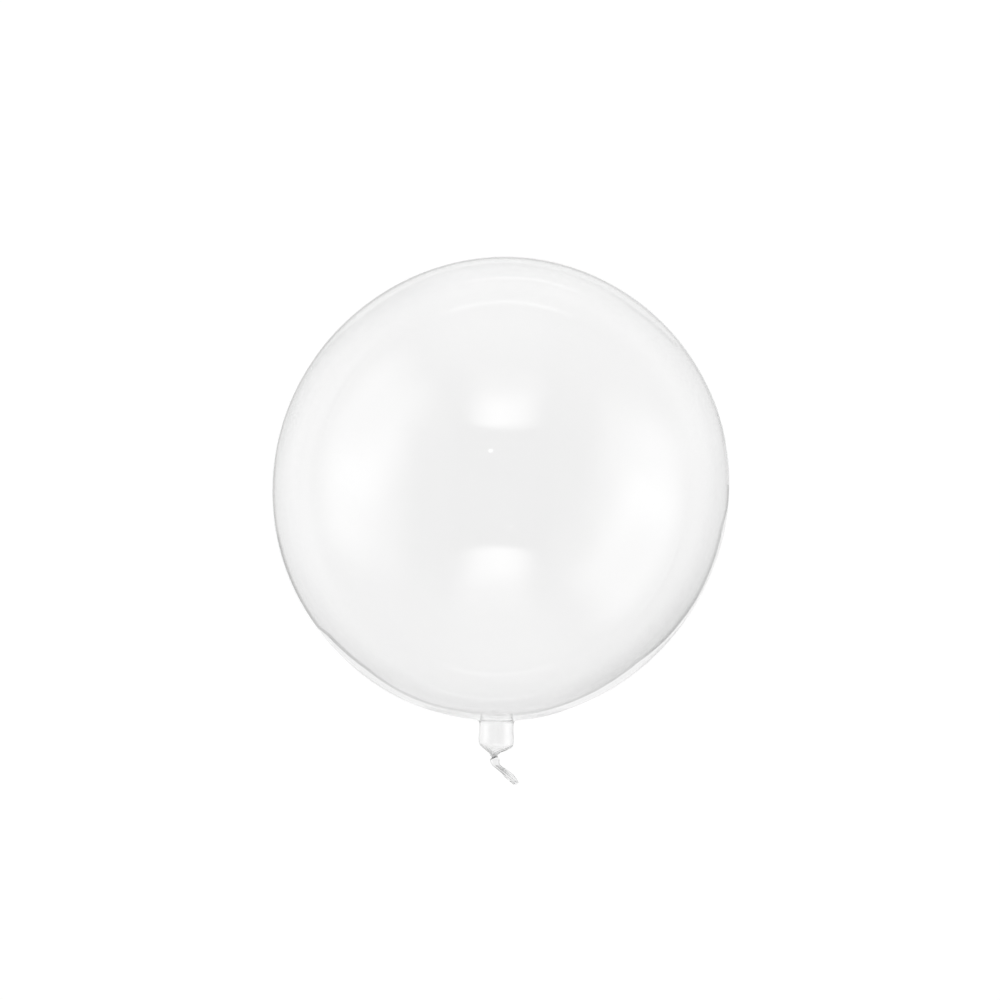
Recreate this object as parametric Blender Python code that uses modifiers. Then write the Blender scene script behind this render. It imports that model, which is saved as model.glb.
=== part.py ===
"""A clear stretch-film balloon blown up to a ball, with its neck twisted shut.

Run it with: blender --background --python part.py

The balloon is one piece of film: a slightly pear-shaped ball, a short round neck, pleats that
gather the neck to a waist, and the flattened end of the film as a tail. It is sealed, so it is
modelled as one solid of its outer shape.

It lies on its side on a small flat spot. Metres, +Z up. The origin is the middle of that spot,
the crown points along +Y and the neck along -Y.
"""

import math

import bmesh
import bpy
from mathutils import Vector

# The ball
BODY_DIAMETER = 0.400
CROWN_RISE = 0.0013  # how far the crown stands out past a true ball
CROWN_SPREAD = math.radians(29)  # how wide that rise is, as an angle at the ball's middle
NECK_DRAW = 0.0048  # how far the film is drawn out towards the neck
NECK_SPREAD = math.radians(40)
NECK_SWING = math.radians(1.03)  # how far the neck points to -X of the ball's middle
REST_SPOT_DIAMETER = 0.060

# The neck, a round tube of film
NECK_DIAMETER = 0.030
NECK_LENGTH = 0.0182
NECK_FLARE = 0.003  # length of the trumpet where the tube leaves the ball
NECK_BULGE = 0.0004  # how far the air swells the tube in its middle

# The gather, where the twist closes the tube
GATHER_LENGTH = 0.0114
GATHER_SHIFT = 0.0017  # how far the waist lies to -X of the neck's axis
GATHER_TWIST = math.radians(80)
WAIST_DIAMETER = 0.0054
PLEATS = 11
PLEAT_DEPTH = 0.0012  # depth of a pleat at the waist

# The tail, the flattened end of the film, bent over to +X and drooping a little
TAIL_LEAN = 0.0012  # how far it leans to +X before it bends
TAIL_STEM = 0.0064  # how far it runs on before it bends
TAIL_REACH = 0.0182  # how far its end lies to +X
TAIL_DROP = 0.0240  # how far its end lies past the waist
TAIL_DROOP = 0.0050  # how far its end hangs below the neck's axis
TAIL_KNUCKLE_WIDTH = 0.0088  # the fat fold just past the waist
TAIL_WIDTH = 0.0073
TAIL_END_WIDTH = 0.0086
TAIL_PLEAT_DEPTH = 0.0010
TAIL_FLATNESS = 0.40  # thickness of the tail as a share of its width
TAIL_KNUCKLE_AT = 0.25  # where the fat fold is, as a share of the tail's length
TAIL_SLIM_AT = 0.5  # where the tail is slimmest
TAIL_TURN = math.radians(110)  # the last of the twist, between the waist and the fat fold

# How finely the solid is faceted
BODY_STEPS = 72
BODY_RINGS = 34
POINTS_PER_PLEAT = 4
NECK_RINGS = 9
GATHER_RINGS = 10
TAIL_RINGS = 24

BODY_RADIUS = BODY_DIAMETER / 2
NECK_RADIUS = NECK_DIAMETER / 2
WAIST_RADIUS = WAIST_DIAMETER / 2
REST_HEIGHT = math.sqrt(BODY_RADIUS**2 - (REST_SPOT_DIAMETER / 2) ** 2)
NECK_ROOT = BODY_RADIUS + NECK_DRAW  # the ball's end, measured from its middle
WAIST = NECK_ROOT + NECK_LENGTH + GATHER_LENGTH

FILM_COLOUR = (0.93, 0.94, 0.95, 1.0)
FILM_ALPHA = 0.25


def empty_scene():
    for obj in list(bpy.data.objects):
        bpy.data.objects.remove(obj)


def new_collection(name):
    collection = bpy.data.collections.new(name)
    bpy.context.scene.collection.children.link(collection)
    return collection


def clear_film():
    """Thin clear plastic, glossy on both sides."""
    material = bpy.data.materials.new("clear_film")
    material.use_nodes = True
    shader = material.node_tree.nodes["Principled BSDF"]
    shader.inputs["Base Color"].default_value = FILM_COLOUR
    shader.inputs["Roughness"].default_value = 0.04
    shader.inputs["Metallic"].default_value = 0.0
    shader.inputs["IOR"].default_value = 1.47
    shader.inputs["Transmission Weight"].default_value = 1.0
    shader.inputs["Alpha"].default_value = FILM_ALPHA
    return material


def ball_radius(angle):
    """Distance from the ball's middle to its film, at an angle from the crown.

    A true ball, with a low rise at the crown and a wider one drawn out towards the neck.
    """
    crown = CROWN_RISE * math.exp(-((angle / CROWN_SPREAD) ** 2))
    neck = NECK_DRAW * math.exp(-(((math.pi - angle) / NECK_SPREAD) ** 2))
    return BODY_RADIUS + crown + neck


def make_ball(collection):
    """The ball, turned about Z from a half profile that runs from the crown to the neck end."""
    mesh = bpy.data.meshes.new("balloon")
    angles = [math.pi * i / BODY_RINGS for i in range(BODY_RINGS + 1)]
    radii = [ball_radius(angle) for angle in angles]
    points = [(r * math.sin(a), 0.0, r * math.cos(a)) for r, a in zip(radii, angles)]
    points[0] = (0.0, 0.0, radii[0])
    points[-1] = (0.0, 0.0, -radii[-1])
    mesh.from_pydata(points, [(i, i + 1) for i in range(BODY_RINGS)], [])
    ball = bpy.data.objects.new("balloon", mesh)
    collection.objects.link(ball)
    screw = ball.modifiers.new("turn", "SCREW")
    screw.axis = "Z"
    screw.steps = screw.render_steps = BODY_STEPS
    screw.use_merge_vertices = True
    screw.merge_threshold = 0.00001
    screw.use_smooth_shade = True
    return ball


def smooth_path(points, count):
    """count + 1 points along a Catmull-Rom curve through the given points."""
    ends = [2 * points[0] - points[1], *points, 2 * points[-1] - points[-2]]
    spans = len(points) - 1
    path = []
    for i in range(count + 1):
        place = spans * i / count
        k = min(int(place), spans - 1)
        t = place - k
        a, b, c, d = ends[k : k + 4]
        bend = (2 * a - 5 * b + 4 * c - d) * t + (3 * b - a - 3 * c + d) * t * t
        path.append(b + 0.5 * t * ((c - a) + bend))
    return path


def blend(low, high, share):
    """From low to high, easing in and out, as share goes from 0 to 1."""
    share = min(max(share, 0.0), 1.0)
    return low + (high - low) * share * share * (3 - 2 * share)


def tail_width(share):
    """The tail swells from the waist to a knuckle, slims, and spreads again to its cut end."""
    if share < TAIL_KNUCKLE_AT:
        return blend(WAIST_DIAMETER, TAIL_KNUCKLE_WIDTH, share / TAIL_KNUCKLE_AT)
    if share < TAIL_SLIM_AT:
        slimming = (share - TAIL_KNUCKLE_AT) / (TAIL_SLIM_AT - TAIL_KNUCKLE_AT)
        return blend(TAIL_KNUCKLE_WIDTH, TAIL_WIDTH, slimming)
    return blend(TAIL_WIDTH, TAIL_END_WIDTH, (share - TAIL_SLIM_AT) / (1 - TAIL_SLIM_AT))


def neck_sections():
    """(middle, radius, pleat depth, flatness, twist) down the round tube, from inside the ball."""
    start = 2 * NECK_FLARE
    sections = []
    for i in range(NECK_RINGS):
        z = start - (start + NECK_LENGTH) * i / NECK_RINGS
        flare = max(z + NECK_FLARE, 0.0) ** 2 / (4 * NECK_FLARE)
        swell = NECK_BULGE * math.sin(math.pi * min(max(-z / NECK_LENGTH, 0.0), 1.0))
        middle = Vector((0.0, 0.0, z - NECK_ROOT))
        sections.append((middle, NECK_RADIUS + flare + swell, 0.0, 1.0, 0.0))
    return sections


def gather_sections():
    """The shoulder where the tube closes, its pleats deepening and turning towards the waist."""
    sections = []
    for i in range(GATHER_RINGS):
        share = i / GATHER_RINGS
        radius = blend(NECK_RADIUS, WAIST_RADIUS, share)
        across = -blend(0.0, GATHER_SHIFT, share)
        middle = Vector((across, 0.0, -NECK_ROOT - NECK_LENGTH - GATHER_LENGTH * share))
        depth = blend(0.0, PLEAT_DEPTH, share)
        sections.append((middle, radius, depth, 1.0, GATHER_TWIST * share * share))
    return sections


def tail_sections():
    """The flattened end of the film, from the waist round the bend to its cut end."""
    waist = Vector((-GATHER_SHIFT, 0.0, -WAIST))
    bend = Vector((TAIL_LEAN, 0.0, -TAIL_STEM))
    end = Vector((TAIL_REACH, TAIL_DROOP, -TAIL_DROP))
    points = [
        waist,
        waist + bend * 0.5,
        waist + bend,
        waist + bend.lerp(end, 0.30),
        waist + bend.lerp(end, 0.65),
        waist + end,
    ]
    sections = []
    for i, middle in enumerate(smooth_path(points, TAIL_RINGS)):
        share = i / TAIL_RINGS
        depth = blend(PLEAT_DEPTH, TAIL_PLEAT_DEPTH, share / TAIL_KNUCKLE_AT)
        flatness = blend(1.0, TAIL_FLATNESS, share / TAIL_KNUCKLE_AT)
        twist = GATHER_TWIST + blend(0.0, TAIL_TURN, share / TAIL_KNUCKLE_AT)
        sections.append((middle, tail_width(share) / 2, depth, flatness, twist))
    return sections


def ring_of(middle, along, radius, depth, flatness, twist):
    """One cross-section: an oval with pleats cut into it, square to the path and turned by twist."""
    across = along.cross(Vector((0.0, 1.0, 0.0))).normalized()
    up = along.cross(across)
    ring = []
    count = PLEATS * POINTS_PER_PLEAT
    for i in range(count):
        angle = math.tau * i / count
        cut = depth * (0.5 + 0.5 * math.cos(PLEATS * angle))
        x = (radius - cut) * math.cos(angle)
        y = (radius - cut) * math.sin(angle) * flatness
        turned_x = x * math.cos(twist) - y * math.sin(twist)
        turned_y = x * math.sin(twist) + y * math.cos(twist)
        ring.append(middle + across * turned_x + up * turned_y)
    return ring


def make_neck(collection):
    """The neck, gather and tail, lofted through unlike sections, from round to pleated and flat."""
    sections = neck_sections() + gather_sections() + tail_sections()
    shape = bmesh.new()
    rings = []
    for i, (middle, radius, depth, flatness, twist) in enumerate(sections):
        before = sections[max(i - 1, 0)][0]
        after = sections[min(i + 1, len(sections) - 1)][0]
        along = (after - before).normalized()
        ring = ring_of(middle, along, radius, depth, flatness, twist)
        rings.append([shape.verts.new(point) for point in ring])
    for ring, following in zip(rings, rings[1:]):
        for i in range(len(ring)):
            j = (i + 1) % len(ring)
            shape.faces.new((ring[i], ring[j], following[j], following[i]))
    shape.faces.new(reversed(rings[0]))
    shape.faces.new(rings[-1])
    bmesh.ops.recalc_face_normals(shape, faces=shape.faces)
    mesh = bpy.data.meshes.new("neck_and_tail")
    shape.to_mesh(mesh)
    shape.free()
    neck = bpy.data.objects.new("neck_and_tail", mesh)
    collection.objects.link(neck)
    return neck


def make_rest_cutter(collection):
    """A block under the floor, whose top face trims the ball to its flat spot."""
    side = 2 * REST_SPOT_DIAMETER
    mesh = bpy.data.meshes.new("under_floor")
    shape = bmesh.new()
    bmesh.ops.create_cube(shape, size=side)
    bmesh.ops.translate(shape, verts=shape.verts, vec=(0.0, 0.0, -side / 2))
    shape.to_mesh(mesh)
    shape.free()
    block = bpy.data.objects.new("under_floor", mesh)
    collection.objects.link(block)
    return block


def lay_on_side(obj):
    """Turns the crown to +Y, less the swing, and lifts the ball's middle to its height."""
    obj.location = (0.0, 0.0, REST_HEIGHT)
    obj.rotation_euler = (-math.pi / 2, 0.0, -NECK_SWING)


def add_boolean(obj, name, operation, other):
    boolean = obj.modifiers.new(name, "BOOLEAN")
    boolean.operation = operation
    boolean.solver = "EXACT"
    boolean.object = other
    other.hide_render = True
    other.display_type = "WIRE"


def build():
    empty_scene()
    parts = new_collection("clear_balloon")
    helpers = new_collection("helpers")
    ball = make_ball(parts)
    neck = make_neck(helpers)
    block = make_rest_cutter(helpers)
    lay_on_side(ball)
    lay_on_side(neck)
    add_boolean(ball, "join neck", "UNION", neck)
    add_boolean(ball, "flat spot", "DIFFERENCE", block)
    ball.data.materials.append(clear_film())


build()
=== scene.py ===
"""The looks of a clear stretch-film balloon that lies on its side on a pale floor.

Metres, +Z up, in the frame of the CAD part. The origin is the middle of the flat spot that the
balloon lies on, the crown points along +Y and the neck along -Y, and the camera looks straight
down, with +X to the right of the picture and +Y to its top.
"""

import bpy
import math
import numpy as np
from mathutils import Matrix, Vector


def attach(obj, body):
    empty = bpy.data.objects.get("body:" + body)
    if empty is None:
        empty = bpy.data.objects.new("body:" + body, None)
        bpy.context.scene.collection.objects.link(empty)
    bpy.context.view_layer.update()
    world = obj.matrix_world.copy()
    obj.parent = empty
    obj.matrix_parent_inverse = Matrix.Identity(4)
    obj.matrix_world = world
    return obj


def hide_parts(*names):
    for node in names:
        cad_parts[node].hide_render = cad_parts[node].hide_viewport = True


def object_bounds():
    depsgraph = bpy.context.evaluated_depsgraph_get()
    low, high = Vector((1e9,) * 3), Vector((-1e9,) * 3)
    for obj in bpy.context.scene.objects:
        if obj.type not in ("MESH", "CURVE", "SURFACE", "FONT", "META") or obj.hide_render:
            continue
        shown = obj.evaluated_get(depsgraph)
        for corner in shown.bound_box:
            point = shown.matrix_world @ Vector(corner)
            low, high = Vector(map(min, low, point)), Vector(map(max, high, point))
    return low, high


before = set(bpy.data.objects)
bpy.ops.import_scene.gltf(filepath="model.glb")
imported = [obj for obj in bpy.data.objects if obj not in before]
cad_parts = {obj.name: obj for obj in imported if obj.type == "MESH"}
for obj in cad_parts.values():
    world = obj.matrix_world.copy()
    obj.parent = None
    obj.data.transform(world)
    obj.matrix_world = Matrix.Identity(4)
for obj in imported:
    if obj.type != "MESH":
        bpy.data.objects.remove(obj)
cad_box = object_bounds()


# The balloon's shape
# One sleeve of clear stretch film blown up to a ball. The film is thinnest on the ball and stays
# thick in the neck, where it was stretched least. The neck is gathered into pleats, twisted
# shut, and the rest of the film hangs on as a short twisted tail, cut off raggedly.

BALL_RADIUS = (cad_box[1][0] - cad_box[0][0]) / 2
BALL_HEIGHT = cad_box[1][2] - BALL_RADIUS  # of the ball's middle above the floor
CROWN_RISE = 0.0013  # how far the crown stands out past a true ball
CROWN_SPREAD = math.radians(29)
NECK_DRAW = 0.0048  # how far the film is drawn out towards the neck
NECK_SPREAD = math.radians(40)
LEAN = 0.0017  # how far the ball is longer along one slanting line, and shorter across it
LEAN_ANGLE = math.radians(48)  # of that line from +X
NECK_SWING = math.radians(1.03)  # how far the neck points to the left of the ball's middle
FILM_THICKNESS = 0.00015
FLOOR_GAP = 0.0002  # between the film's flat spot and the floor

NECK_RADIUS = 0.0149
NECK_LENGTH = 0.0182
NECK_FLARE = 0.0030  # how far below its root the neck's trumpet ends
NECK_SWELL = 0.0005
NECK_SWELL_PLACE = 0.85 * NECK_LENGTH
NECK_SWELL_SPREAD = 0.004
NECK_FILM_THICKNESS = 0.00035
NECK_FILM_START = 0.93  # share of the way from the ball's middle to the root: it thickens from here
ROOT_CLEARANCE = 0.0036  # how far outside the neck the ball's arc ends
ROOT_CORNER = -0.0004  # from here the rounded corner at the root is drawn, along from the root
TUBE_START = 0.0014
ROOT_BEAD = 0.00022  # how much thicker the film is in the crease where the neck leaves the ball
ROOT_BEAD_PLACE = 0.0018
ROOT_BEAD_SPREAD = 0.001
GATHER_LENGTH = 0.0114
GATHER_SHIFT = -0.0017  # how far the waist lies to the left of the neck's axis
SHOULDER_SKEW = 0.08  # how much further the gather's shoulder hangs on the right, per metre across
SKEW_RISE = 0.006  # how far above the gather the skew starts
WAIST_RADIUS = 0.0033
GATHER_FULLNESS = 1.3  # how late the gather closes
PLEATS = 11
PLEAT_DEPTH = 0.0016
PLEAT_LIMIT = 0.5  # the deepest pleat, as a share of the radius
PLEAT_CROWDING = 0.8  # how unevenly the pleats stand around the gather
PLEAT_UNEVENNESS = ((0.45, 2, 0.6), (0.30, 3, 2.1))  # share of the depth, waves around, phase
PLEATS_FULL = 0.8  # share of the gather at which they reach their full depth
GATHER_TWIST = math.radians(80)  # where the tail's turn starts, too

TAIL_ROUTE = (  # across and along from the waist, half width of the film bundle, turn in degrees
    (0.0000, 0.0000, 0.0033, 80.0),
    (0.0006, 0.0026, 0.0041, 150.0),
    (0.0010, 0.0060, 0.0038, 188.0),
    (0.0037, 0.0098, 0.0031, 218.0),
    (0.0084, 0.0136, 0.0030, 214.0),
    (0.0132, 0.0175, 0.0031, 190.0),
    (0.0168, 0.0210, 0.0030, 172.0),
    (0.0192, 0.0240, 0.0026, 163.0),
)
TAIL_DROOP = 0.005
TAIL_PUFF = 0.0012  # half the thickness of the flattened tail, with the air between its folds
TAIL_PUFF_LOSS = 0.4  # share of it that is lost towards the cut
TAIL_EDGE_FULLNESS = 2.2  # how soon the flattened tail has its thickness, inwards from its edges
TAIL_FILM_THICKNESS = 0.0004
TAIL_FOLDS = 1.75  # waves of the folded film across the tail
TAIL_FOLD_DEPTH = 0.00053
TAIL_FIRST_DEPTH = 0.2  # share of that depth near the waist
TAIL_FOLD_GROWTH = (0.2, 0.3)  # shares of the tail: where the folds start to deepen, and how long
TAIL_FOLD_PHASE = 0.7
TAIL_FOLD_TURNS = 0.9  # how often the folds wind across the tail along its length
BUNDLE_END = 0.16  # share of the tail that the gather's bundle takes to flatten
CUT_START = 0.8  # share of the tail from which the cut's shape shows
RAGGED_CUT = 0.0012
RAGGED_WAVES = ((1.0, 4.0, 0.4), (0.6, 9.0, 1.7))  # share of it, waves per half width, phase
RAGGED_LOOP = 0.3  # share of it that runs three times around the cut
SLANTED_CUT = 0.0018  # how much further the tail's right edge runs than its middle

FLOOR_SOFTNESS = 0.0001  # how gently the film turns from the ball into the flat spot

AROUND = 200
BALL_ROWS = 128
ROOT_ROWS = 8
NECK_ROWS = 24
GATHER_ROWS = 24
TAIL_ROWS = 64


def ease(low, high, share):
    """From low to high with a slope of nothing at both ends: 3 s^2 - 2 s^3 of the clipped share."""
    share = np.clip(share, 0.0, 1.0)
    return low + (high - low) * share * share * (3 - 2 * share)


def ball_radius(angle):
    """A ball, plus one bell curve of the angle from the crown and one of the angle from the neck."""
    crown = CROWN_RISE * np.exp(-((angle / CROWN_SPREAD) ** 2))
    neck = NECK_DRAW * np.exp(-(((math.pi - angle) / NECK_SPREAD) ** 2))
    return BALL_RADIUS + crown + neck


def neck_tube_radius(along):
    """The neck's radius at a distance past its root: a tube, a trumpet at the root, and a swell.

    The trumpet is a parabola that ends one flare length past the root. The swell is a bell curve
    just above the gather.
    """
    flare = np.maximum(NECK_FLARE - along, 0.0) ** 2 / (4 * NECK_FLARE)
    swell = NECK_SWELL * np.exp(-(((along - NECK_SWELL_PLACE) / NECK_SWELL_SPREAD) ** 2))
    return NECK_RADIUS + flare + swell


def rounded_corner(before, corner, after, count):
    """Points on the quadratic curve that leaves one line and joins the next, inside their corner."""
    t = np.linspace(0.0, 1.0, count)[:, None]
    return (1 - t) ** 2 * before + 2 * t * (1 - t) * corner + t**2 * after


def near_neck(distance):
    """0 on the ball and 1 at the neck's root, by the smooth step."""
    root = BALL_RADIUS + NECK_DRAW
    return ease(0.0, 1.0, (distance - NECK_FILM_START * root) / ((1 - NECK_FILM_START) * root))


def half_outline():
    """(distance towards the neck, radius) from crown to waist, and the film's thickness there.

    The ball's arc, a rounded corner, the neck's tube and the gather. The gather closes from the
    tube's radius to the waist's by the smooth step of a power of its share. The film thickens
    towards the neck and towards the waist by smooth steps, and by a bell curve at the root.
    """
    root = BALL_RADIUS + NECK_DRAW
    end_angle = math.pi - math.asin((NECK_RADIUS + ROOT_CLEARANCE) / root)
    angle = np.linspace(0.0, end_angle, BALL_ROWS)
    ball = np.stack([-ball_radius(angle) * np.cos(angle), ball_radius(angle) * np.sin(angle)], 1)
    along = np.linspace(TUBE_START, NECK_LENGTH, NECK_ROWS)
    tube = np.stack([root + along, neck_tube_radius(along)], 1)
    corner = np.array([root + ROOT_CORNER, neck_tube_radius(0.0)])
    root_turn = rounded_corner(ball[-1], corner, tube[0], ROOT_ROWS + 2)[1:-1]
    share = np.linspace(0.0, 1.0, GATHER_ROWS + 1)[1:]
    closing = ease(tube[-1, 1], WAIST_RADIUS, share**GATHER_FULLNESS)
    gather = np.stack([tube[-1, 0] + GATHER_LENGTH * share, closing], 1)
    outline = np.concatenate([ball, root_turn, tube, gather])
    distance = outline[:, 0]
    thick = FILM_THICKNESS + (NECK_FILM_THICKNESS - FILM_THICKNESS) * near_neck(distance)
    closed = (distance - tube[-1, 0]) / GATHER_LENGTH
    bead = ROOT_BEAD * np.exp(-(((distance - root - ROOT_BEAD_PLACE) / ROOT_BEAD_SPREAD) ** 2))
    return outline, ease(thick, TAIL_FILM_THICKNESS, closed) + bead


def body_surface():
    """The outer film from crown to waist, as a grid of points, rows by places around.

    Each row is a circle about the neck's axis. The ball's rows take on the lean, which adds
    cos^2 minus sin^2 of the angle from the slanting line. The pleats in the gather are cosine
    waves around the row, which turn as they near the waist.
    """
    outline, thick = half_outline()
    distance = outline[:, :1]
    radius = outline[:, 1:]
    around = np.linspace(0.0, math.tau, AROUND, endpoint=False)[None, :]
    tube_end = BALL_RADIUS + NECK_DRAW + NECK_LENGTH
    share = np.clip((distance - tube_end) / GATHER_LENGTH, 0.0, 1.0)
    uneven = np.ones_like(around)
    for size, waves, phase in PLEAT_UNEVENNESS:
        uneven += size * np.cos(waves * around + phase)
    pleat = 0.5 - 0.5 * np.cos(PLEATS * around + PLEAT_CROWDING * np.sin(2 * around))
    near_waist = ease(0.0, 1.0, share / PLEATS_FULL)
    radius = radius - np.minimum(PLEAT_DEPTH * near_waist * uneven * pleat, PLEAT_LIMIT * radius)
    turned = around + GATHER_TWIST * share**2
    across = radius * np.cos(turned) + GATHER_SHIFT * ease(0.0, 1.0, share)
    up = radius * np.sin(turned)
    skew = SHOULDER_SKEW * across * ease(0.0, 1.0, (distance - tube_end + SKEW_RISE) / SKEW_RISE)
    along = distance + skew * (1 - share**2)
    points = np.stack([across, -along, up], 2)
    length = np.linalg.norm(points, axis=2, keepdims=True)
    way = points / np.maximum(length, 1e-9)
    line = np.array([math.cos(LEAN_ANGLE), math.sin(LEAN_ANGLE), 0.0])
    square = np.array([-math.sin(LEAN_ANGLE), math.cos(LEAN_ANGLE), 0.0])
    lean = LEAN * ((way @ line) ** 2 - (way @ square) ** 2)[..., None]
    return points + way * lean * (1 - near_neck(distance))[..., None], thick


def through_route(values, count):
    """A smooth run through the route's points: each span is the cubic of a Catmull-Rom curve."""
    values = np.asarray(values, float)
    ends = np.concatenate([[2 * values[0] - values[1]], values, [2 * values[-1] - values[-2]]])
    place = np.linspace(0.0, len(values) - 1, count)
    k = np.minimum(place.astype(int), len(values) - 2)
    t = (place - k)[:, None]
    a, b, c, d = (ends[k + step] for step in range(4))
    bend = (2 * a - 5 * b + 4 * c - d) * t + (3 * b - a - 3 * c + d) * t * t
    return b + 0.5 * t * ((c - a) + bend)


def tail_surface(waist):
    """The tail from just past the waist to its cut end, as a grid of points.

    Each row is a loop around a folded, flattened sleeve: its middle line is a sine wave across
    the tail, and the loop runs along one face of it and back along the other. The rows follow the
    route and turn as they go. At the waist the loop is the last row of the gather.
    """
    run = through_route(TAIL_ROUTE, TAIL_ROWS + 1)
    share = np.linspace(0.0, 1.0, TAIL_ROWS + 1)[:, None]
    start = BALL_RADIUS + NECK_DRAW + NECK_LENGTH + GATHER_LENGTH
    droop = -TAIL_DROOP * share[:, 0] ** 2
    middle = np.stack([GATHER_SHIFT + run[:, 0], -start - run[:, 1], droop], 1)
    ahead = np.gradient(middle, axis=0)
    ahead /= np.linalg.norm(ahead, axis=1, keepdims=True)
    upward = np.array([0.0, 0.0, 1.0])
    side = np.cross(upward, ahead)
    side /= np.linalg.norm(side, axis=1, keepdims=True)
    lift = np.cross(ahead, side)
    around = np.linspace(0.0, math.tau, AROUND, endpoint=False)[None, :]
    v = np.cos(around)
    half = run[:, 2:3]
    fold_start, fold_growth = TAIL_FOLD_GROWTH
    depth = TAIL_FOLD_DEPTH * ease(TAIL_FIRST_DEPTH, 1.0, (share - fold_start) / fold_growth)
    phase = TAIL_FOLD_PHASE + math.tau * TAIL_FOLD_TURNS * share
    wave = np.sin(math.pi * TAIL_FOLDS * v + phase)
    slope = math.pi * TAIL_FOLDS * depth / half * np.cos(math.pi * TAIL_FOLDS * v + phase)
    puff = TAIL_PUFF * (1 - TAIL_PUFF_LOSS * share)
    thick = puff * np.tanh(TAIL_EDGE_FULLNESS * np.sin(around))
    x = half * v - thick * slope / np.sqrt(1 + slope**2)
    y = depth * wave + thick / np.sqrt(1 + slope**2)
    twist = np.radians(run[:, 3:4])
    near_cut = ease(0.0, 1.0, (share - CUT_START) / (1 - CUT_START))
    ragged = RAGGED_LOOP * np.sin(3 * around)
    for size, waves, start_phase in RAGGED_WAVES:
        ragged = ragged + size * np.sin(waves * v + start_phase)
    cut = near_cut * (RAGGED_CUT * ragged - SLANTED_CUT * v)
    loop_x = x * np.cos(twist) - y * np.sin(twist)
    loop_y = x * np.sin(twist) + y * np.cos(twist)
    points = (
        middle[:, None, :]
        + side[:, None, :] * loop_x[..., None]
        + lift[:, None, :] * loop_y[..., None]
        + ahead[:, None, :] * cut[..., None]
    )
    bundle = middle[:, None, :] + (waist - middle[0])[None, :, :]
    mixed = ease(0.0, 1.0, share / BUNDLE_END)[..., None]
    return (bundle * (1 - mixed) + points * mixed)[1:]


def inside_of(points, thick):
    """The inner face of the film: each point moved inwards, square to the grid, by the thickness."""
    along = np.gradient(points, axis=0)
    around = np.roll(points, -1, axis=1) - np.roll(points, 1, axis=1)
    square = np.cross(around, along)
    square /= np.maximum(np.linalg.norm(square, axis=2, keepdims=True), 1e-12)
    return points - square * thick[:, None, None]


def grid_faces(rows):
    """Quads between the rows of a closed grid."""
    i, j = np.meshgrid(np.arange(rows - 1), np.arange(AROUND), indexing="ij")
    k = (j + 1) % AROUND
    faces = np.stack([i * AROUND + j, i * AROUND + k, (i + 1) * AROUND + k, (i + 1) * AROUND + j], 2)
    return faces.reshape(-1, 4)


def pole_faces(ring, pole, outwards):
    """Triangles from a ring of points to its pole."""
    j = np.arange(AROUND)
    faces = np.stack([ring + j, np.full(AROUND, pole), ring + (j + 1) % AROUND], 1)
    return faces if outwards else faces[:, ::-1]


def laid_on_floor(points, gap):
    """Swings the neck to its side, lifts the ball to its height and flattens what meets the floor.

    The flattening is the soft maximum of the height and the gap to the floor.
    """
    c = math.cos(NECK_SWING)
    s = math.sin(NECK_SWING)
    x = points[:, 0] * c + points[:, 1] * s
    y = points[:, 1] * c - points[:, 0] * s
    z = points[:, 2] + BALL_HEIGHT
    above = z - gap
    z = gap + 0.5 * (above + np.sqrt(above**2 + FLOOR_SOFTNESS**2))
    return np.stack([x, y, z], 1)


def balloon_mesh():
    """Outer face of the film from the crown to the cut end, and its inner face back to the crown."""
    body, body_thick = body_surface()
    tail = tail_surface(body[-1])
    whole = np.concatenate([body, tail])
    thick = np.concatenate([body_thick, np.full(len(tail), TAIL_FILM_THICKNESS)])
    crown = body[0].mean(axis=0)
    inner_crown = crown - np.array([0.0, FILM_THICKNESS, 0.0])
    outer = np.concatenate([whole[1:].reshape(-1, 3), [crown]])
    inner = np.concatenate([[inner_crown], inside_of(whole, thick)[:0:-1].reshape(-1, 3)])
    outer = laid_on_floor(outer, FLOOR_GAP)
    inner = laid_on_floor(inner, FLOOR_GAP + FILM_THICKNESS)
    points = np.concatenate([outer[:-1], inner[1:], outer[-1:], inner[:1]])
    count = len(points) - 2
    quads = grid_faces(count // AROUND)
    triangles = np.concatenate(
        [pole_faces(0, count, True), pole_faces(count - AROUND, count + 1, False)]
    )
    mesh = bpy.data.meshes.new("balloon_film")
    mesh.from_pydata(points, [], quads.tolist() + triangles.tolist())
    mesh.shade_smooth()
    return mesh


balloon = bpy.data.objects.new("balloon_film", balloon_mesh())
bpy.context.scene.collection.objects.link(balloon)


# The balloon's finish
# Clear, colourless, glossy film. It was stretched unevenly, so it ripples a little, and fine
# stretch marks run out from the neck, where the film is also a touch milky. Where the film is
# seen edge on, painted shade darkens its colour.

FILM_IOR = 1.5
RIPPLE_HEIGHT = 0.0003
RIPPLE_SCALE = 9.0
RIPPLE_DETAIL = 1.5
MARK_STRENGTH = 0.15  # of the stretch marks, against the ripples
MARK_SCALE = 11.0
MARK_DETAIL = 2.0
NECK_ROOT_PLACE = (-0.0037, -0.2048, 0.1978)
MARK_REACH = (0.09, 0.012)  # distances from the neck's root: where the marks start, and are full
MILKY_TONE = 0.997  # what the film lets through near the neck
GREY_START = -0.226  # along Y: from here to the waist the gathered film turns greyer
GREY_END = -0.236
GREY_TONE = 0.988
GRAZING_START = 0.80  # 0 is film seen square on, and 1 is film seen edge on
GRAZING_END = 0.98
PAINTED_RIM_SHADE = 0.38  # painted shade: the film's colour where it is seen edge on, for a dark outline
SHADOW_TONE = 0.97  # what the film lets through of a lamp's light on its way to the floor


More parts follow.
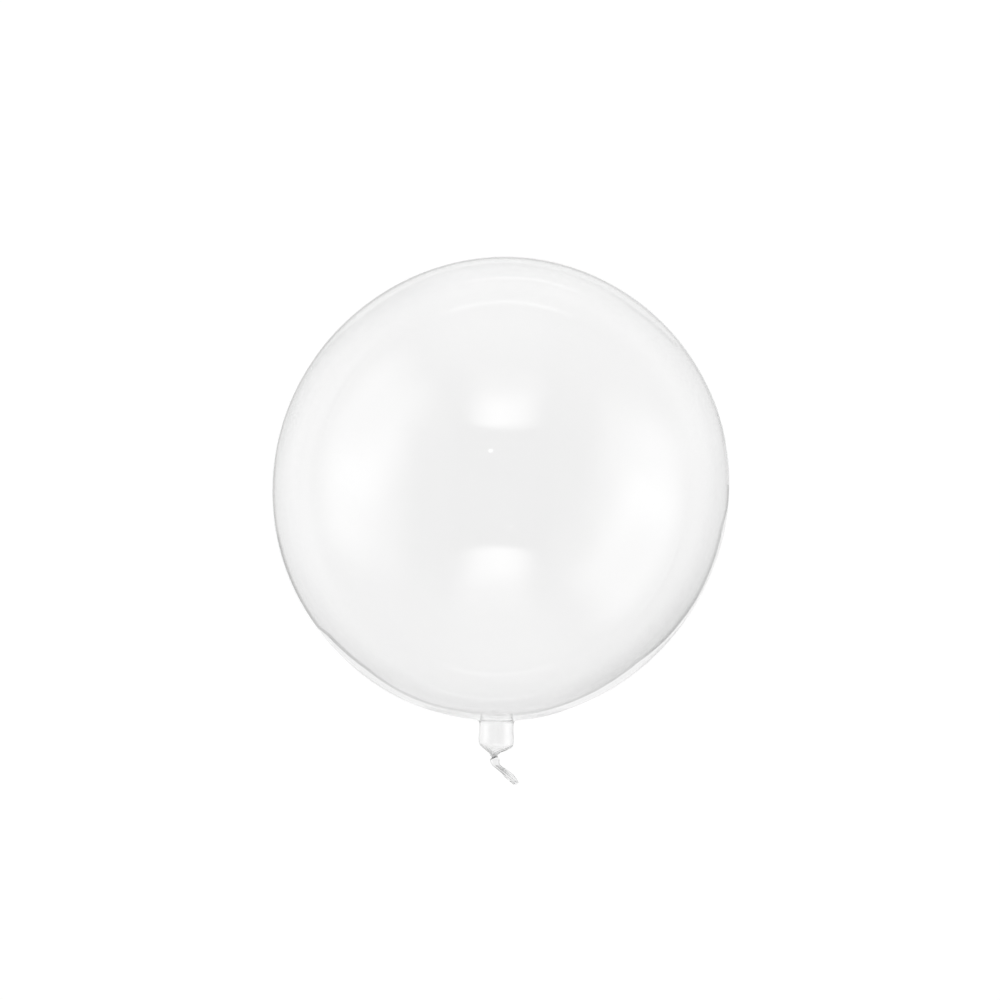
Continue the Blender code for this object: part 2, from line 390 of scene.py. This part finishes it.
def new_group(name, inputs, outputs):
    """An empty shader node group with the named sockets, and its input and output nodes."""
    group = bpy.data.node_groups.new(name, "ShaderNodeTree")
    for socket, kind, value in inputs:
        made = group.interface.new_socket(socket, in_out="INPUT", socket_type=kind)
        if value is not None:
            made.default_value = value
    for socket, kind in outputs:
        group.interface.new_socket(socket, in_out="OUTPUT", socket_type=kind)
    return group, group.nodes.new("NodeGroupInput"), group.nodes.new("NodeGroupOutput")


def grey(level):
    """An opaque colour without hue."""
    return (level, level, level, 1.0)


def film_ripples_group():
    """Height of the film's slow ripples, plus stretch marks that run out from the neck.

    The marks are noise read around the neck's axis, so that it changes quickly around the neck
    and slowly away from it, and they fade with the distance from the neck's root.
    """
    group, given, out = new_group(
        "film_ripples",
        [
            ("Vector", "NodeSocketVector", None),
            ("Ripple Scale", "NodeSocketFloat", RIPPLE_SCALE),
            ("Mark Strength", "NodeSocketFloat", MARK_STRENGTH),
        ],
        [("Height", "NodeSocketFloat"), ("Near Neck", "NodeSocketFloat")],
    )
    nodes, links = group.nodes, group.links
    ripple = nodes.new("ShaderNodeTexNoise")
    ripple.inputs["Detail"].default_value = RIPPLE_DETAIL
    links.new(given.outputs["Vector"], ripple.inputs["Vector"])
    links.new(given.outputs["Ripple Scale"], ripple.inputs["Scale"])
    from_neck = nodes.new("ShaderNodeVectorMath")
    from_neck.operation = "SUBTRACT"
    from_neck.inputs[1].default_value = NECK_ROOT_PLACE
    links.new(given.outputs["Vector"], from_neck.inputs[0])
    distance = nodes.new("ShaderNodeVectorMath")
    distance.operation = "LENGTH"
    links.new(from_neck.outputs[0], distance.inputs[0])
    near = nodes.new("ShaderNodeMapRange")
    near.interpolation_type = "SMOOTHSTEP"
    near.inputs["From Min"].default_value = MARK_REACH[0]
    near.inputs["From Max"].default_value = MARK_REACH[1]
    links.new(distance.outputs["Value"], near.inputs["Value"])
    flat = nodes.new("ShaderNodeVectorMath")
    flat.operation = "MULTIPLY"
    flat.inputs[1].default_value = (1.0, 0.0, 1.0)
    links.new(from_neck.outputs[0], flat.inputs[0])
    around = nodes.new("ShaderNodeVectorMath")
    around.operation = "NORMALIZE"
    links.new(flat.outputs[0], around.inputs[0])
    marks = nodes.new("ShaderNodeTexNoise")
    marks.inputs["Scale"].default_value = MARK_SCALE
    marks.inputs["Detail"].default_value = MARK_DETAIL
    links.new(around.outputs[0], marks.inputs["Vector"])
    fading = nodes.new("ShaderNodeMath")
    fading.operation = "MULTIPLY"
    links.new(marks.outputs["Fac"], fading.inputs[0])
    links.new(near.outputs["Result"], fading.inputs[1])
    strength = nodes.new("ShaderNodeMath")
    strength.operation = "MULTIPLY"
    links.new(fading.outputs[0], strength.inputs[0])
    links.new(given.outputs["Mark Strength"], strength.inputs[1])
    both = nodes.new("ShaderNodeMath")
    both.operation = "ADD"
    links.new(ripple.outputs["Fac"], both.inputs[0])
    links.new(strength.outputs[0], both.inputs[1])
    links.new(both.outputs[0], out.inputs["Height"])
    links.new(near.outputs["Result"], out.inputs["Near Neck"])
    return group


def clear_film():
    """Thin glossy film, greyer where it is gathered and near the neck. Painted shade darkens its
    colour where it is seen edge on, for a dark outline.

    Lamps reach the floor through it almost undimmed.
    """
    material = bpy.data.materials.new("clear_film")
    material.use_nodes = True
    nodes, links = material.node_tree.nodes, material.node_tree.links
    shader = nodes["Principled BSDF"]
    shader.inputs["Transmission Weight"].default_value = 1.0
    shader.inputs["IOR"].default_value = FILM_IOR
    shader.inputs["Metallic"].default_value = 0.0
    shader.inputs["Roughness"].default_value = 0.0
    place = nodes.new("ShaderNodeTexCoord")
    ripples = nodes.new("ShaderNodeGroup")
    ripples.node_tree = film_ripples_group()
    links.new(place.outputs["Object"], ripples.inputs["Vector"])
    bump = nodes.new("ShaderNodeBump")
    bump.inputs["Strength"].default_value = 1.0
    bump.inputs["Distance"].default_value = RIPPLE_HEIGHT
    links.new(ripples.outputs["Height"], bump.inputs["Height"])
    links.new(bump.outputs["Normal"], shader.inputs["Normal"])
    tone = nodes.new("ShaderNodeMix")
    tone.data_type = "RGBA"
    tone.inputs["A"].default_value = grey(1.0)
    tone.inputs["B"].default_value = grey(MILKY_TONE)
    links.new(ripples.outputs["Near Neck"], tone.inputs["Factor"])
    parts = nodes.new("ShaderNodeSeparateXYZ")
    links.new(place.outputs["Object"], parts.inputs[0])
    gathered = nodes.new("ShaderNodeMapRange")
    gathered.interpolation_type = "SMOOTHSTEP"
    gathered.inputs["From Min"].default_value = GREY_START
    gathered.inputs["From Max"].default_value = GREY_END
    links.new(parts.outputs["Y"], gathered.inputs["Value"])
    greyed = nodes.new("ShaderNodeMix")
    greyed.data_type = "RGBA"
    greyed.inputs["B"].default_value = grey(GREY_TONE)
    links.new(gathered.outputs["Result"], greyed.inputs["Factor"])
    links.new(tone.outputs["Result"], greyed.inputs["A"])
    # Painted shade: the film's colour is darkened by the Layer Weight where it is seen edge on, to
    # draw a dark outline.
    grazing = nodes.new("ShaderNodeLayerWeight")
    grazing.inputs["Blend"].default_value = 0.5
    rim_shade_mask = nodes.new("ShaderNodeMapRange")
    rim_shade_mask.interpolation_type = "SMOOTHSTEP"
    rim_shade_mask.inputs["From Min"].default_value = GRAZING_START
    rim_shade_mask.inputs["From Max"].default_value = GRAZING_END
    links.new(grazing.outputs["Facing"], rim_shade_mask.inputs["Value"])
    rim_shaded = nodes.new("ShaderNodeMix")
    rim_shaded.data_type = "RGBA"
    rim_shaded.inputs["B"].default_value = grey(PAINTED_RIM_SHADE)
    links.new(rim_shade_mask.outputs["Result"], rim_shaded.inputs["Factor"])
    links.new(greyed.outputs["Result"], rim_shaded.inputs["A"])
    links.new(rim_shaded.outputs["Result"], shader.inputs["Base Color"])
    passing = nodes.new("ShaderNodeBsdfTransparent")
    passing.inputs["Color"].default_value = grey(SHADOW_TONE)
    ray = nodes.new("ShaderNodeLightPath")
    mixed = nodes.new("ShaderNodeMixShader")
    links.new(ray.outputs["Is Shadow Ray"], mixed.inputs["Fac"])
    links.new(shader.outputs["BSDF"], mixed.inputs[1])
    links.new(passing.outputs["BSDF"], mixed.inputs[2])
    links.new(mixed.outputs["Shader"], nodes["Material Output"].inputs["Surface"])
    return material


balloon.data.materials.append(clear_film())
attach(balloon, "root")
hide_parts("balloon")


# The floor
# A pale table lit mostly from within, so that it is plain white under the balloon and fades
# softly to the grey of the backdrop around it. The film mirrors the studio in its place.

FLOOR_RADIUS = 30.0
FLOOR_INNER_RING = 0.25
FLOOR_RINGS = 24
FLOOR_SPOKES = 96
FLOOR_GLOW = 0.905
FLOOR_PAINT = 0.50
BACKDROP_WHITE = 0.62
POOL_START = 0.53  # half the side of the white pool around the balloon
POOL_END = 1.05
OVERHEAD_POWER = 0.75
OVERHEAD_WIDTH = math.radians(30)


def was_mirrored(nodes, links):
    """1 for a ray that any surface has reflected on its way here, 0 for any other."""
    path = nodes.new("ShaderNodeLightPath")
    once = nodes.new("ShaderNodeMath")
    once.operation = "MINIMUM"
    once.inputs[1].default_value = 1.0
    links.new(path.outputs["Glossy Depth"], once.inputs[0])
    return once.outputs[0]


def floor_finish():
    """White for straight views, and not there for a ray that the film has mirrored.

    The white pool is a square with round corners: it fades by the fourth root of x^4 + y^4.
    """
    material = bpy.data.materials.new("pale_floor")
    material.use_nodes = True
    nodes, links = material.node_tree.nodes, material.node_tree.links
    shader = nodes["Principled BSDF"]
    shader.inputs["Base Color"].default_value = grey(FLOOR_PAINT)
    shader.inputs["Roughness"].default_value = 1.0
    shader.inputs["Specular IOR Level"].default_value = 0.0
    shader.inputs["Emission Color"].default_value = grey(1.0)
    place = nodes.new("ShaderNodeTexCoord")
    square = place.outputs["Object"]
    for _ in range(2):
        squared = nodes.new("ShaderNodeVectorMath")
        squared.operation = "MULTIPLY"
        links.new(square, squared.inputs[0])
        links.new(square, squared.inputs[1])
        square = squared.outputs[0]
    added = nodes.new("ShaderNodeVectorMath")
    added.operation = "DOT_PRODUCT"
    added.inputs[1].default_value = (1.0, 1.0, 0.0)
    links.new(square, added.inputs[0])
    distance = nodes.new("ShaderNodeMath")
    distance.operation = "POWER"
    distance.inputs[1].default_value = 0.25
    links.new(added.outputs["Value"], distance.inputs[0])
    fade = nodes.new("ShaderNodeMapRange")
    fade.interpolation_type = "SMOOTHSTEP"
    fade.inputs["From Min"].default_value = POOL_START
    fade.inputs["From Max"].default_value = POOL_END
    fade.inputs["To Min"].default_value = FLOOR_GLOW
    fade.inputs["To Max"].default_value = BACKDROP_WHITE - FLOOR_PAINT * OVERHEAD_POWER / math.pi
    links.new(distance.outputs["Value"], fade.inputs["Value"])
    links.new(fade.outputs["Result"], shader.inputs["Emission Strength"])
    gone = nodes.new("ShaderNodeBsdfTransparent")
    mixed = nodes.new("ShaderNodeMixShader")
    links.new(was_mirrored(nodes, links), mixed.inputs["Fac"])
    links.new(shader.outputs["BSDF"], mixed.inputs[1])
    links.new(gone.outputs["BSDF"], mixed.inputs[2])
    links.new(mixed.outputs["Shader"], nodes["Material Output"].inputs["Surface"])
    return material


def floor_disc():
    """A flat disc of rings whose widths grow outwards, so that its middle is finely divided."""
    rings = np.geomspace(FLOOR_INNER_RING, FLOOR_RADIUS, FLOOR_RINGS)[:, None]
    turn = np.linspace(0.0, math.tau, FLOOR_SPOKES, endpoint=False)
    x = rings * np.cos(turn)
    y = rings * np.sin(turn)
    points = np.stack([x, y, np.zeros_like(x)], 2).reshape(-1, 3)
    points = np.concatenate([points, [[0.0, 0.0, 0.0]]])
    i, j = np.meshgrid(np.arange(FLOOR_RINGS - 1), np.arange(FLOOR_SPOKES), indexing="ij")
    k = (j + 1) % FLOOR_SPOKES
    near = i * FLOOR_SPOKES
    far = near + FLOOR_SPOKES
    quads = np.stack([near + j, far + j, far + k, near + k], 2).reshape(-1, 4)
    j = np.arange(FLOOR_SPOKES)
    middle = np.stack([np.full(FLOOR_SPOKES, len(points) - 1), j, (j + 1) % FLOOR_SPOKES], 1)
    mesh = bpy.data.meshes.new("floor")
    mesh.from_pydata(points, [], quads.tolist() + middle.tolist())
    return mesh


def overhead_lamp():
    """A wide soft lamp straight above, for the balloon's faint shadow under itself."""
    lamp = bpy.data.lights.new("overhead", "SUN")
    lamp.energy = OVERHEAD_POWER
    lamp.angle = OVERHEAD_WIDTH
    made = bpy.data.objects.new("overhead", lamp)
    made.visible_glossy = False
    made.visible_transmission = False
    return made


floor = bpy.data.objects.new("floor", floor_disc())
bpy.context.scene.collection.objects.link(floor)
floor.data.materials.append(floor_finish())
overhead = overhead_lamp()
bpy.context.scene.collection.objects.link(overhead)


# The studio
# What the film mirrors: tall soft boxes left and right, small lamps at the crown's and the neck's
# side, a white wall on the crown's side, a dark room on the neck's side and around the camera,
# and a pale table with a darker rim behind the ball. Seen straight, the room is a pale backdrop.

ROOM_FROM = 102.6  # azimuth in degrees of the brightest wall, from +X
ROOM_PEAK = 1.3
WALL_STOPS = (  # 0 faces away from the brightest wall and 1 faces it, light
    (0.05, 0.0),
    (0.25, 0.214),
    (0.50, 0.592),
    (0.75, 0.851),
    (0.975, 0.995),
)
HEIGHT_STOPS = (  # 0 is straight up and 1 is straight down, light
    (0.128, 0.0),
    (0.25, 0.162),
    (0.371, 0.417),
    (0.5, 0.595),
    (0.629, 0.738),
    (0.735, 1.0),
)
CEILING = 0.05
CEILING_RISE = (0.2, 0.45)  # how steeply up the ceiling starts, and has its full light
TABLE_LIGHT = (0.78, 1.08)  # at its edge and right behind the ball
TABLE_LIGHT_FADE = (0.900, 0.985)  # how steeply down it starts to grow lighter, and stops
TABLE_BLUR = 0.010
RIM_BLUR = 0.012
TABLE_EDGE = (  # share of a turn from +X, how steeply down the table and its rim start, rim light
    (0.000, 0.975, 0.945, 0.86),
    (0.250, 0.975, 0.948, 0.78),
    (0.480, 0.975, 0.945, 0.72),
    (0.601, 0.975, 0.930, 0.50),
    (0.608, 0.925, 0.870, 0.16),
    (0.645, 0.868, 0.818, 0.06),
    (0.675, 0.886, 0.844, 0.30),
    (0.800, 0.886, 0.849, 0.22),
    (0.860, 0.874, 0.822, 0.06),
    (0.885, 0.926, 0.870, 0.07),
    (0.917, 0.952, 0.890, 0.30),
    (0.970, 0.938, 0.890, 0.40),
    (0.985, 0.978, 0.940, 0.60),
)
SKIRTING = 0.15  # light of a low pale band on the neck's side
SKIRTING_DEPTH = (0.65, 0.83)  # how steeply down it starts, and has its full light
SKIRTING_MIDDLE = -1.605  # azimuth in radians
SKIRTING_REACH = (0.58, 0.40)  # radians to each side, where it has faded, and is still full
LAMP_SLANT = 0.05  # a lamp's plane is not followed further aside than this
LAMPS = (  # zenith, azimuth, roll, half length and width, near, far, side edge, slope, bend, light
    ("left", 71.7, 179.5, 44.3, 0.52, 0.25, 0.17, 0.24, 0.22, 0.0, 0.0, 0.41),
    ("left top", 60.0, 149.1, 62.0, 0.38, 0.34, 0.11, 0.15, 0.17, 0.0, 0.0, 0.13),
    ("right", 81.3, -24.7, -97.6, 0.475, 0.417, 0.23, 0.23, 0.22, 0.14, 0.0, 0.68),
    ("right top", 78.6, 9.8, -33.4, 0.49, 0.354, 0.17, 0.24, 0.24, -0.07, 0.0, 0.44),
    ("crown", 37.9, 92.0, 0.0, 0.127, 0.19, 0.035, 0.12, 0.24, 0.0, 0.6, 0.80),
    ("crown wall", 85.0, 92.0, 0.0, 0.35, 0.35, 0.20, 0.20, 0.20, 0.0, 0.0, 0.17),
    ("neck", 43.2, 267.0, 0.0, 0.245, 0.27, 0.04, 0.273, 0.16, 0.0, 0.7, 1.03),
    ("dark corner", 139.1, 310.3, 90.0, 0.243, 0.337, 0.084, 0.226, 0.287, 0.0, 0.0, -0.14),
    ("dark board", 0.0, 90.0, 0.0, 1.46, 0.508, 0.12, 0.12, 0.08, 0.0, 0.0, -0.05),
    ("high edge", 106.0, 90.0, 0.0, 0.022, 0.34, 0.025, 0.025, 0.10, 0.0, 0.0, 0.42),
    ("low edge", 129.3, 84.5, 0.0, 0.022, 0.22, 0.025, 0.025, 0.08, 0.0, 0.0, 0.34),
    ("right edge", 109.6, -40.0, 0.0, 0.012, 0.40, 0.008, 0.008, 0.08, 0.0, 0.0, 0.18),
    ("right gap", 111.8, -40.0, 0.0, 0.010, 0.40, 0.008, 0.008, 0.08, 0.0, 0.0, -0.22),
    ("lens", 19.0, 106.5, 0.0, 0.014, 0.016, 0.008, 0.008, 0.008, 0.0, 0.0, 3.00),
)


def direction(from_zenith, azimuth):
    """The unit vector at an angle in degrees from straight up, and at an azimuth from +X."""
    a = math.radians(from_zenith)
    b = math.radians(azimuth)
    return np.array([math.sin(a) * math.cos(b), math.sin(a) * math.sin(b), math.cos(a)])


def math_node(nodes, links, operation, *values):
    """A Math node, whose inputs are numbers or outputs of other nodes."""
    made = nodes.new("ShaderNodeMath")
    made.operation = operation
    for socket, value in zip(made.inputs, values):
        if isinstance(value, float):
            socket.default_value = value
        else:
            links.new(value, socket)
    return made.outputs[0]


def faded(nodes, links, value, low, high):
    """0 below low, 1 above high, and the smooth step between them."""
    made = nodes.new("ShaderNodeMapRange")
    made.interpolation_type = "SMOOTHSTEP"
    links.new(value, made.inputs["Value"])
    for socket, limit in ((made.inputs["From Min"], low), (made.inputs["From Max"], high)):
        if isinstance(limit, float):
            socket.default_value = limit
        else:
            links.new(limit, socket)
    return made.outputs["Result"]


def lamp_group():
    """How brightly a flat lamp shows in a direction.

    The direction is projected on the lamp's plane. Lengthwise it fades in over the near edge and
    out over the far edge, crosswise it fades over the side edge on both sides, and along its
    length it grows by the slope. The bend curves both ends away from the near edge by the square
    of the place across. Nothing shows behind the viewer.
    """
    group, given, out = new_group(
        "lamp",
        [
            ("Direction", "NodeSocketVector", None),
            ("Towards", "NodeSocketVector", None),
            ("Lengthwise", "NodeSocketVector", None),
            ("Crosswise", "NodeSocketVector", None),
            ("Half Length", "NodeSocketFloat", 0.3),
            ("Half Width", "NodeSocketFloat", 0.3),
            ("Near Edge", "NodeSocketFloat", 0.1),
            ("Far Edge", "NodeSocketFloat", 0.1),
            ("Side Edge", "NodeSocketFloat", 0.1),
            ("Slope", "NodeSocketFloat", 0.0),
            ("Bend", "NodeSocketFloat", 0.0),
        ],
        [("Amount", "NodeSocketFloat")],
    )
    nodes, links = group.nodes, group.links

    def along(name):
        product = nodes.new("ShaderNodeVectorMath")
        product.operation = "DOT_PRODUCT"
        links.new(given.outputs["Direction"], product.inputs[0])
        links.new(given.outputs[name], product.inputs[1])
        return product.outputs["Value"]

    def calc(operation, *values):
        return math_node(nodes, links, operation, *values)

    def step(value, limit, edge, sign):
        edge_low = calc("SUBTRACT", calc("MULTIPLY", limit, sign), edge)
        edge_high = calc("ADD", calc("MULTIPLY", limit, sign), edge)
        return faded(nodes, links, value, edge_low, edge_high)

    ahead = along("Towards")
    safe = calc("MAXIMUM", ahead, LAMP_SLANT)
    width_place = calc("ABSOLUTE", calc("DIVIDE", along("Crosswise"), safe))
    straight = calc("DIVIDE", along("Lengthwise"), safe)
    bent = calc("MULTIPLY", calc("MULTIPLY", width_place, width_place), given.outputs["Bend"])
    length_place = calc("SUBTRACT", straight, bent)
    length = given.outputs["Half Length"]
    entered = step(length_place, length, given.outputs["Near Edge"], -1.0)
    left = step(length_place, length, given.outputs["Far Edge"], 1.0)
    aside = step(width_place, given.outputs["Half Width"], given.outputs["Side Edge"], 1.0)
    amount = calc("MULTIPLY", entered, calc("SUBTRACT", 1.0, left))
    amount = calc("MULTIPLY", amount, calc("SUBTRACT", 1.0, aside))
    grown = calc("MULTIPLY_ADD", length_place, given.outputs["Slope"], 1.0)
    amount = calc("MULTIPLY", amount, calc("MAXIMUM", grown, 0.0))
    amount = calc("MULTIPLY", amount, calc("GREATER_THAN", ahead, LAMP_SLANT))
    links.new(amount, out.inputs["Amount"])
    return group


def ramp(nodes, links, value, stops):
    """A Color Ramp with straight runs between its stops, which have one level or three each."""
    made = nodes.new("ShaderNodeValToRGB")
    elements = made.color_ramp.elements
    elements[0].position = stops[0][0]
    elements[1].position = stops[-1][0]
    for place, *_ in stops[1:-1]:
        elements.new(place)
    for element, (_, *levels) in zip(elements, stops):
        element.color = (*(levels if len(levels) == 3 else levels * 3), 1.0)
    links.new(value, made.inputs["Fac"])
    return made.outputs["Color"]


def studio_world():
    """The brightness in each direction: walls by azimuth and height, lamps, rim and table below."""
    world = bpy.data.worlds.new("studio")
    world.use_nodes = True
    nodes, links = world.node_tree.nodes, world.node_tree.links

    def calc(operation, *values):
        return math_node(nodes, links, operation, *values)

    place = nodes.new("ShaderNodeTexCoord")
    way = nodes.new("ShaderNodeVectorMath")
    way.operation = "NORMALIZE"
    links.new(place.outputs["Generated"], way.inputs[0])
    parts = nodes.new("ShaderNodeSeparateXYZ")
    links.new(way.outputs[0], parts.inputs[0])
    to_wall = nodes.new("ShaderNodeVectorMath")
    to_wall.operation = "DOT_PRODUCT"
    to_wall.inputs[1].default_value = direction(90, ROOM_FROM)
    links.new(way.outputs[0], to_wall.inputs[0])
    wall = ramp(nodes, links, calc("MULTIPLY_ADD", to_wall.outputs["Value"], 0.5, 0.5), WALL_STOPS)
    height = ramp(nodes, links, calc("MULTIPLY_ADD", parts.outputs["Z"], -0.5, 0.5), HEIGHT_STOPS)
    total = calc("MULTIPLY", calc("MULTIPLY", wall, height), ROOM_PEAK)
    above = faded(nodes, links, parts.outputs["Z"], *CEILING_RISE)
    total = calc("MULTIPLY_ADD", above, CEILING, total)
    lamp = lamp_group()
    for _, zenith, azimuth, roll, *shape, light in LAMPS:
        made = nodes.new("ShaderNodeGroup")
        made.node_tree = lamp
        links.new(way.outputs[0], made.inputs["Direction"])
        c = math.cos(math.radians(roll))
        s = math.sin(math.radians(roll))
        down = direction(zenith + 90, azimuth)
        aside = direction(90, azimuth + 90)
        made.inputs["Towards"].default_value = direction(zenith, azimuth)
        made.inputs["Lengthwise"].default_value = c * down + s * aside
        made.inputs["Crosswise"].default_value = c * aside - s * down
        for socket, size in zip(made.inputs[4:], shape):
            socket.default_value = size
        total = calc("MULTIPLY_ADD", made.outputs["Amount"], light, total)
    turn = calc("ARCTAN2", parts.outputs["Y"], parts.outputs["X"])
    edge = nodes.new("ShaderNodeSeparateColor")
    share_of_turn = calc("FRACT", calc("DIVIDE", turn, math.tau))
    links.new(ramp(nodes, links, share_of_turn, TABLE_EDGE), edge.inputs[0])
    table_start, rim_start, rim_light = edge.outputs
    downward = calc("MULTIPLY", parts.outputs["Z"], -1.0)
    low = faded(nodes, links, downward, *SKIRTING_DEPTH)
    from_neck = calc("ABSOLUTE", calc("ADD", turn, -SKIRTING_MIDDLE))
    ahead_of_neck = faded(nodes, links, from_neck, *SKIRTING_REACH)
    total = calc("MULTIPLY_ADD", calc("MULTIPLY", low, ahead_of_neck), SKIRTING, total)
    total = calc("MAXIMUM", total, 0.0)
    on_rim = faded(nodes, links, downward, rim_start, calc("ADD", rim_start, RIM_BLUR))
    on_table = faded(nodes, links, downward, table_start, calc("ADD", table_start, TABLE_BLUR))

    def blend(first, second, share):
        kept = calc("MULTIPLY", first, calc("SUBTRACT", 1.0, share))
        return calc("ADD", kept, calc("MULTIPLY", second, share))

    behind_ball = faded(nodes, links, downward, *TABLE_LIGHT_FADE)
    table_light = calc("MULTIPLY_ADD", behind_ball, TABLE_LIGHT[1] - TABLE_LIGHT[0], TABLE_LIGHT[0])
    room = blend(blend(total, rim_light, on_rim), table_light, on_table)
    switch = nodes.new("ShaderNodeMix")
    switch.inputs["A"].default_value = BACKDROP_WHITE
    links.new(was_mirrored(nodes, links), switch.inputs["Factor"])
    links.new(room, switch.inputs["B"])
    background = nodes["Background"]
    background.inputs["Color"].default_value = grey(1.0)
    links.new(switch.outputs["Result"], background.inputs["Strength"])
    return world


bpy.context.scene.world = studio_world()
bpy.context.scene.world.cycles_visibility.diffuse = False
bpy.context.scene.world.cycles.sampling_method = "NONE"
bpy.context.scene.view_settings.view_transform = "Standard"
bpy.context.scene.cycles.caustics_reflective = False
bpy.context.scene.cycles.caustics_refractive = False
bpy.context.scene.cycles.max_bounces = 24
bpy.context.scene.cycles.transmission_bounces = 24
bpy.context.scene.cycles.glossy_bounces = 12
bpy.context.scene.cycles.diffuse_bounces = 0


# The camera
# High above the balloon and looking straight down through a long lens, as the photograph shows
# it, with the ball a little above the middle of the picture.

PICTURE = 1000  # pixels on a side
BALL_PIXELS = 458  # the ball's width in the picture
BALL_PLACE = (500.8, 487.0)  # the ball's middle in the picture
CAMERA_HEIGHT = 12.0
SENSOR = 36.0

metres_per_pixel = 2 * BALL_RADIUS / BALL_PIXELS
camera = bpy.data.objects.new("camera", bpy.data.cameras.new("camera"))
camera.data.sensor_width = SENSOR
camera.data.lens = SENSOR * CAMERA_HEIGHT / (PICTURE * metres_per_pixel)
camera.location = (
    (PICTURE / 2 - BALL_PLACE[0]) * metres_per_pixel,
    (BALL_PLACE[1] - PICTURE / 2) * metres_per_pixel,
    BALL_HEIGHT + CAMERA_HEIGHT,
)
bpy.context.scene.collection.objects.link(camera)
bpy.context.scene.camera = camera
